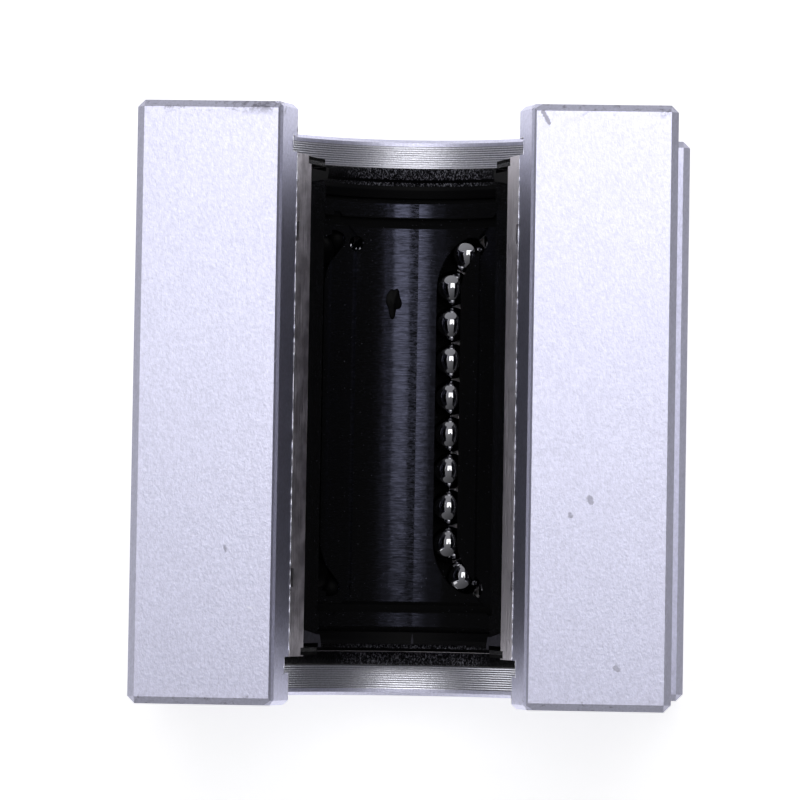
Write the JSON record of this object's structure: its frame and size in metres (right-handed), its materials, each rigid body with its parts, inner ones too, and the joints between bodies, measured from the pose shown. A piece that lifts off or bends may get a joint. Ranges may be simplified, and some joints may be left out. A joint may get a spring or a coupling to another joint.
{
  "type": "linear bearing block",
  "caption": "Open aluminium pillow block with a slit recirculating ball bearing for a 20 mm supported shaft.",
  "frame": {"origin": "centre of the flat mounting face, at the bottom of the block", "axes": "+Z out of the mounting face towards the open slot, +Y along the shaft, +X across the block towards the adjusting screw"},
  "size_m": [0.048, 0.05, 0.039],
  "materials": {
    "anodised_aluminium": "bead blasted and clear anodised, satin",
    "bearing_steel": "ground",
    "retainer_plastic": "moulded, oily gloss",
    "ball_steel": "polished",
    "seal_rubber": "moulded, matt",
    "blackened_steel": "blackened",
    "screw_steel": "black oxide"
  },
  "bodies": {
    "block": {"housing": "anodised_aluminium", "bearing_sleeve": "bearing_steel", "ball_retainer": "retainer_plastic", "ball_circuit_1": "ball_steel", "ball_circuit_2": "ball_steel", "ball_circuit_3": "ball_steel", "ball_circuit_4": "ball_steel", "end_seal_front": "seal_rubber", "end_seal_rear": "seal_rubber", "side_ring_front": "blackened_steel", "side_ring_rear": "blackened_steel", "retaining_ring_front": "blackened_steel", "retaining_ring_rear": "blackened_steel"},
    "screw": {"adjusting_screw": "screw_steel"}
  },
  "joints": [
    {"name": "adjusting_screw_turn", "type": "hinge", "parent": "block", "child": "screw", "pos_m": [0.0185, 0, 0.023], "axis": [1, 0, 0], "range_deg": [0, 600]}
  ]
}
